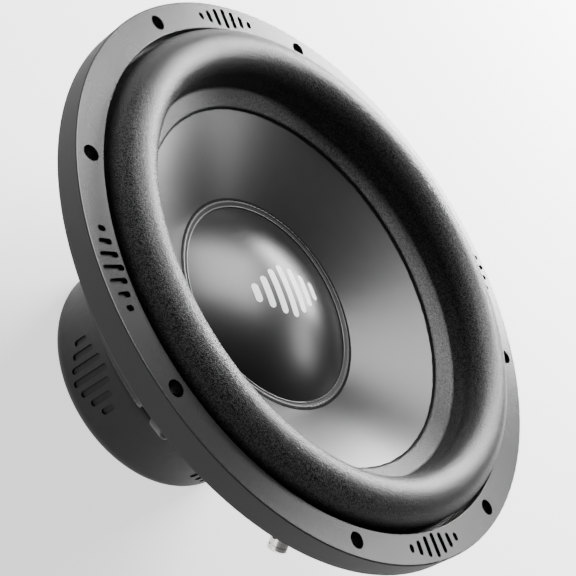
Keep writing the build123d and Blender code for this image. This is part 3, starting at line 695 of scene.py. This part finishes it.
def tinsel_lead(key, plate_az, side):
    """A braided lead: seven strands laid round each other from the lug to the pad."""
    start = polar(LEAD_START[0], plate_az + side * LEAD_START[1], LEAD_START[2])
    end = polar(LEAD_END[0], plate_az + side * LEAD_END[1], LEAD_END[2])
    route = [start]
    for share, rise in LEAD_ROUTE:
        spot = start.lerp(end, share)
        route.append(Vector((spot.x, spot.y, start.z + rise * MM)))
    route.append(end)
    strands, sides = 7, 56
    section = []
    for k in range(sides):
        turn = tau * k / sides
        section.append((LEAD_R * (0.86 + 0.14 * abs(cos(strands * turn / 2))), turn))
    piece = tube_along(f"tinsel_{key}", curve_points(route, 24), section, turns=16)
    paint(piece, SLOT_MATERIALS["tinsel"])
    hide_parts(f"tinsel_lead_{key}")
    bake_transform(piece)


def cap_spring(key, azimuth):
    """The spring in a push cap, drawn at one length and fixed to the frame."""
    foot = polar(POST_FOOT[0], azimuth, POST_FOOT[1])
    out = polar(POST_OUT[0], azimuth, POST_OUT[1])
    x_way = polar(1.0, azimuth + 90)
    y_way = out.cross(x_way)
    low, high = SPRING_LOW + SPRING_WIRE_R, SPRING_HIGH - SPRING_WIRE_R
    steps = 24 * SPRING_TURNS
    path = []
    for k in range(steps + 1):
        turn = tau * SPRING_TURNS * k / steps
        along = low + (high - low) * k / steps
        path.append(foot + out * along + (x_way * cos(turn) + y_way * sin(turn)) * SPRING_R)
    piece = tube_along(f"spring_{key}", path, circle_section(SPRING_WIRE_R, 10))
    paint(piece, SLOT_MATERIALS["spring_steel"])
    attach(piece, FIXED)
    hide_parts(f"terminal_spring_{key}")
    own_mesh(piece)


def glue_and_shadow_bead(name, radius, width):
    """A thin uneven line of black glue round the cone, which also lays a painted shadow along the edge it
    follows.
    """
    segments, sides = 360, 8
    points, faces = [], []
    for s in range(segments):
        turn = 360.0 * s / segments
        around = radians(turn)
        wobble = 1 + 0.22 * sin(around * 41 + 1.3) * sin(around * 17) + 0.12 * sin(around * 97)
        r, z = on_cone(radius, GLUE_AND_SHADOW_LIFT)
        for k in range(sides):
            a = tau * k / sides
            points.append(polar(r + width * wobble * cos(a), turn, z + 0.45 * width * sin(a)))
    for s in range(segments):
        for k in range(sides):
            n, m = (s + 1) % segments * sides, (k + 1) % sides
            faces.append((s * sides + k, n + k, n + m, s * sides + m))
    piece = add_mesh(name, points, faces)
    paint(piece, GLUE_AND_SHADOW)
    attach(piece, MOVING)


def on_dome(x, y, proud):
    """The point of the cap's dome over (x, y), that far proud of it."""
    (_, centre_z), dome = circle_through((-CAP_DOME_R, CAP_DOME_Z), (0, CAP_APEX_Z), (CAP_DOME_R, CAP_DOME_Z))
    return Vector((x, y, centre_z + sqrt(dome**2 - x * x - y * y) + proud))


def cap_mark():
    """White level bars printed over the middle of the cap."""
    rows, columns = 28, 6
    points, faces = [], []
    middle = (len(MARK_BARS) - 1) / 2
    for bar, share in enumerate(MARK_BARS):
        centre, length = (bar - middle) * MARK_PITCH, MARK_HEIGHT * share
        first = len(points)
        for proud in (MARK_FILM, -MARK_FILM):
            for i in range(rows + 1):
                y = -length / 2 * cos(pi * i / rows)
                past = max(0.0, abs(y) - (length - MARK_WIDTH) / 2)
                half = sqrt(max(0.0, (MARK_WIDTH / 2) ** 2 - past**2))
                half = max(half, 0.02 * MM)
                for j in range(columns + 1):
                    points.append(on_dome(centre + half * (2 * j / columns - 1), y, proud))
        width, sheet = columns + 1, (rows + 1) * (columns + 1)
        for i in range(rows):
            for j in range(columns):
                a = first + i * width + j
                faces.append((a, a + 1, a + width + 1, a + width))
                faces.append((a + sheet, a + sheet + width, a + sheet + width + 1, a + sheet + 1))
        for i in range(rows):
            here, after = first + i * width, first + (i + 1) * width
            faces.append((here, after, after + sheet, here + sheet))
            faces.append((here + columns, here + columns + sheet, after + columns + sheet, after + columns))
        for j in range(columns):
            low, high = first + j, first + rows * width + j
            faces.append((low, low + sheet, low + 1 + sheet, low + 1))
            faces.append((high, high + 1, high + 1 + sheet, high + sheet))
    piece = add_mesh("cap_mark", points, faces)
    paint(piece, PRINT_WHITE)
    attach(piece, MOVING)


# ==== studio ====
def camera():
    data = bpy.data.cameras.new("camera")
    data.lens = CAMERA_LENS
    data.sensor_width = SENSOR_WIDTH
    data.clip_start, data.clip_end = 0.01, 50.0
    made = bpy.data.objects.new("camera", data)
    azimuth, elevation = radians(CAMERA_AZIMUTH), radians(CAMERA_ELEVATION)
    back = Vector((cos(azimuth) * cos(elevation), sin(azimuth) * cos(elevation), sin(elevation)))
    right = (-back).cross(Vector((0, 0, 1))).normalized()
    up = right.cross(-back)
    roll = radians(CAMERA_ROLL)
    across, upright = right * cos(roll) + up * sin(roll), up * cos(roll) - right * sin(roll)
    turn = Matrix((across, upright, back)).transposed()
    made.matrix_world = Matrix.LocRotScale(CAMERA_AIM + back * CAMERA_DISTANCE, turn.to_quaternion(), None)
    bpy.context.scene.collection.objects.link(made)
    bpy.context.scene.camera = made


def floor():
    """A plain pale floor under the boot."""
    low, _ = CAD_BOX
    side = FLOOR_HALF_SIDE
    corners = [(-side, -side), (side, -side), (side, side), (-side, side)]
    made = add_mesh("floor", [(x, y, low.z - FLOOR_GAP) for x, y in corners], [(0, 1, 2, 3)])
    s = Surface("floor", roughness=0.9, specular_ior_level=0.2)
    s.shader.inputs["Base Color"].default_value = (0.9, 0.9, 0.9, 1.0)
    s.shader.inputs["Emission Color"].default_value = (1.0, 1.0, 1.0, 1.0)
    s.shader.inputs["Emission Strength"].default_value = FLOOR_GLOW
    made.data.materials.append(s.material)


def world():
    """Pale at the horizon and dim overhead."""
    made = bpy.data.worlds.new("world")
    made.use_nodes = True
    tree = made.node_tree
    background = tree.nodes["Background"]
    place = tree.nodes.new("ShaderNodeTexCoord")
    split = tree.nodes.new("ShaderNodeSeparateXYZ")
    fade = tree.nodes.new("ShaderNodeMapRange")
    for key, value in {"From Min": 0.1, "From Max": 0.8, "To Min": HORIZON, "To Max": ZENITH}.items():
        fade.inputs[key].default_value = value
    tree.links.new(place.outputs["Generated"], split.inputs["Vector"])
    tree.links.new(split.outputs["Z"], fade.inputs["Value"])
    tree.links.new(fade.outputs["Result"], background.inputs["Strength"])
    background.inputs["Color"].default_value = (1.0, 1.0, 1.0, 1.0)
    bpy.context.scene.world = made


def softbox(name, azimuth, elevation, distance, size, radiance):
    """A softbox seen in that direction from the middle of the object, facing it, that bright all over."""
    data = bpy.data.lights.new(name, "AREA")
    data.shape = "RECTANGLE"
    data.size, data.size_y = size
    data.energy = radiance * pi * size[0] * size[1]
    made = bpy.data.objects.new(name, data)
    out = Vector(polar(cos(radians(elevation)), azimuth, sin(radians(elevation))))
    made.location = out * distance
    made.rotation_mode = "QUATERNION"
    made.rotation_quaternion = (-out).to_track_quat("-Z", "Y")
    bpy.context.scene.collection.objects.link(made)


def studio():
    for name, light in SOFTBOXES.items():
        softbox(name, *light)


# ==== the scene ====
paint_nodes()
for round_node in ("cone", "dust_cap"):
    shade_over_seam(round_node)
surround()
spider()
for plate, plate_azimuth in PLATE_AZ.items():
    for sign, post_side in POLARITY.items():
        tinsel_lead(f"{plate}_{sign}", plate_azimuth, post_side)
        cap_spring(f"{plate}_{sign}", plate_azimuth + post_side * POST_SPREAD)
# these beads are glue and painted shadow: at the surround's lip edge and round the cap
glue_and_shadow_bead("rim_glue_and_shadow", *RIM_GLUE_AND_SHADOW)
glue_and_shadow_bead("cap_glue_and_shadow", *CAP_GLUE_AND_SHADOW)
cap_mark()
camera()
floor()
world()
studio()
